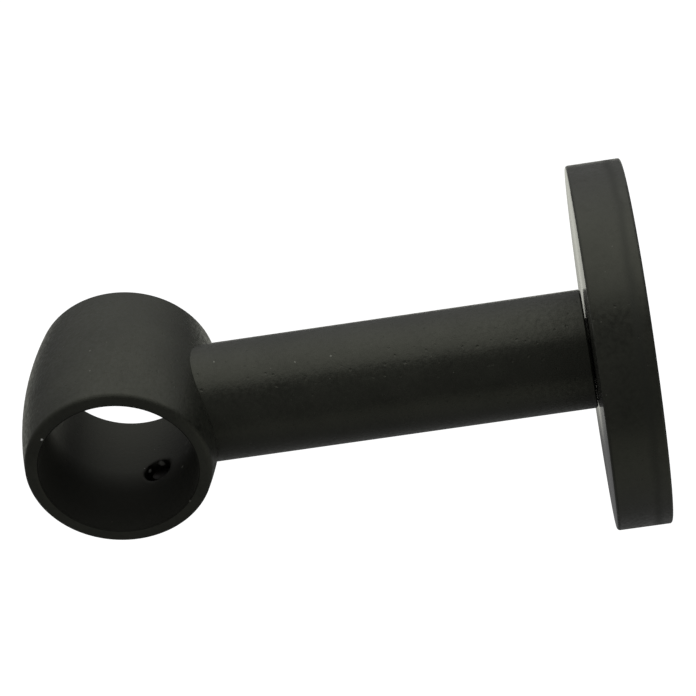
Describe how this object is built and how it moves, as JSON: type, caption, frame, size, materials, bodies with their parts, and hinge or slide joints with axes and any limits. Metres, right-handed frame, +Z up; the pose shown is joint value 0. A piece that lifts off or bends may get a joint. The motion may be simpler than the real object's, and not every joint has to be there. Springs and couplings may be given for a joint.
{
  "type": "curtain pole bracket",
  "caption": "Wall bracket for a round curtain pole: a barrel ring with a grub screw, on a round arm that stands out from a round wall rose with a hidden fixing plate.",
  "frame": {"origin": "centre of the face that lies against the wall, on the arm's axis", "axes": "+Y into the wall along the arm, +X along the pole, +Z up"},
  "size_m": [0.0604, 0.1038, 0.0604],
  "materials": {
    "black_coat": "satin charcoal-black coating over turned metal",
    "zinc_steel": "bright zinc plate",
    "black_steel": "black oxide"
  },
  "bodies": {
    "bracket": {"pole_ring": "black_coat", "arm": "black_coat", "wall_rose": "black_coat", "wall_plate": "zinc_steel", "arm_bolt": "zinc_steel", "arm_lock_washer": "zinc_steel", "ring_screw": "black_steel"},
    "pole_grub": {"pole_grub_screw": "black_steel"},
    "rose_grub": {"rose_grub_screw": "black_steel"}
  },
  "joints": [
    {"name": "pole_grub_travel", "type": "slide", "parent": "bracket", "child": "pole_grub", "axis": [0, -0.2419, 0.9703], "range_m": [-0.0016, 0.0018]},
    {"name": "rose_grub_travel", "type": "slide", "parent": "bracket", "child": "rose_grub", "axis": [0, 0, 1], "range_m": [-0.0015, 0]}
  ]
}
